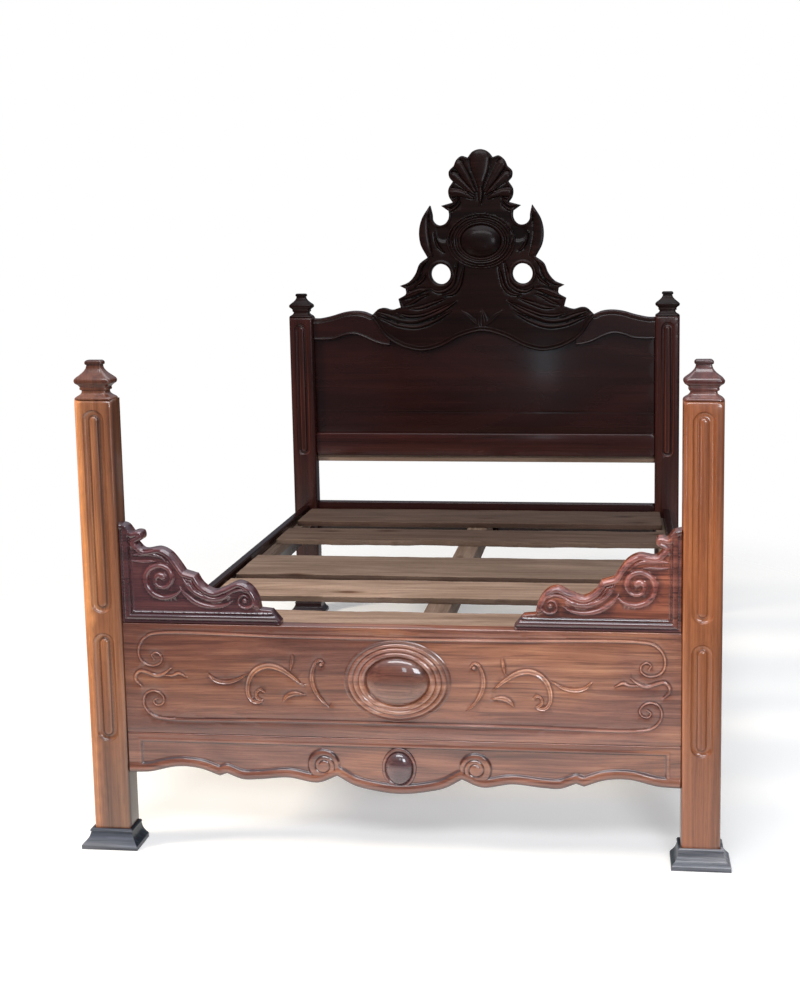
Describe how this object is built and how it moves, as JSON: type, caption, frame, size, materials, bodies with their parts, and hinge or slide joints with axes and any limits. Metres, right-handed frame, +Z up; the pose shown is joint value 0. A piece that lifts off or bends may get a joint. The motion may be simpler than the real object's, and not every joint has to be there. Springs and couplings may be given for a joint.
{
  "type": "carved wooden bed",
  "caption": "Queen-size wooden bed with fluted posts, finials, scroll-carved footboard and apron, a tall pierced headboard crest and loose plank slats.",
  "frame": {"origin": "on the floor, under the middle of the bed's box", "axes": "+X to the right seen from the foot end, +Y from foot to head, +Z up"},
  "size_m": [1.7346, 2.1623, 2.022],
  "materials": {
    "honey_wood": "varnished, glossy",
    "red_wood": "varnished, glossy",
    "dark_wood": "dark stain, glossy varnish",
    "raw_wood": "sawn, unfinished",
    "steel": "plain"
  },
  "bodies": {
    "bed_frame": {"foot_post_left": "honey_wood", "foot_post_right": "honey_wood", "head_post_left": "dark_wood", "head_post_right": "dark_wood", "foot_finial_left": "honey_wood", "foot_finial_right": "honey_wood", "head_finial_left": "dark_wood", "head_finial_right": "dark_wood", "foot_plinth_left_front": "honey_wood", "foot_plinth_left_inner": "honey_wood", "foot_plinth_left_outer": "honey_wood", "foot_plinth_right_front": "honey_wood", "foot_plinth_right_inner": "honey_wood", "foot_plinth_right_outer": "honey_wood", "head_plinth_left_front": "dark_wood", "head_plinth_left_inner": "dark_wood", "head_plinth_left_outer": "dark_wood", "head_plinth_right_front": "dark_wood", "head_plinth_right_inner": "dark_wood", "head_plinth_right_outer": "dark_wood", "footboard_panel": "red_wood", "footboard_medallion": "red_wood", "footboard_apron": "red_wood", "apron_boss": "red_wood", "foot_bracket_left": "red_wood", "foot_bracket_right": "red_wood", "foot_bracket_left_dowel_1": "raw_wood", "foot_bracket_left_dowel_2": "raw_wood", "foot_bracket_right_dowel_1": "raw_wood", "foot_bracket_right_dowel_2": "raw_wood", "head_panel": "dark_wood", "head_lower_rail": "dark_wood", "head_top_rail_left": "dark_wood", "head_top_rail_right": "dark_wood", "head_crest": "dark_wood", "crest_boss": "dark_wood", "head_cross_rail": "dark_wood", "head_back_batten": "raw_wood", "side_rail_left": "dark_wood", "side_rail_right": "dark_wood", "side_ledger_left": "raw_wood", "side_ledger_right": "raw_wood", "centre_beam": "raw_wood", "beam_cleat_foot": "raw_wood", "beam_cleat_head": "raw_wood", "foot_hook_plate_left": "steel", "foot_hook_plate_right": "steel", "head_hook_plate_left": "steel", "head_hook_plate_right": "steel", "foot_strike_plate_left": "steel", "foot_strike_plate_right": "steel", "head_strike_plate_left": "steel", "head_strike_plate_right": "steel"},
    "slat_1": {"slat_1": "raw_wood"},
    "slat_2": {"slat_2": "raw_wood"},
    "slat_3": {"slat_3": "raw_wood"},
    "slat_4": {"slat_4": "raw_wood"},
    "slat_5": {"slat_5": "raw_wood"},
    "slat_6": {"slat_6": "raw_wood"}
  },
  "joints": [
    {"name": "slat_1_lift", "type": "slide", "parent": "bed_frame", "child": "slat_1", "axis": [0, 0, 1], "range_m": [0, 0.2]},
    {"name": "slat_2_lift", "type": "slide", "parent": "bed_frame", "child": "slat_2", "axis": [0, 0, 1], "range_m": [0, 0.2]},
    {"name": "slat_3_lift", "type": "slide", "parent": "bed_frame", "child": "slat_3", "axis": [0, 0, 1], "range_m": [0, 0.2]},
    {"name": "slat_4_lift", "type": "slide", "parent": "bed_frame", "child": "slat_4", "axis": [0, 0, 1], "range_m": [0, 0.2]},
    {"name": "slat_5_lift", "type": "slide", "parent": "bed_frame", "child": "slat_5", "axis": [0, 0, 1], "range_m": [0, 0.2]},
    {"name": "slat_6_lift", "type": "slide", "parent": "bed_frame", "child": "slat_6", "axis": [0, 0, 1], "range_m": [0, 0.2]}
  ]
}
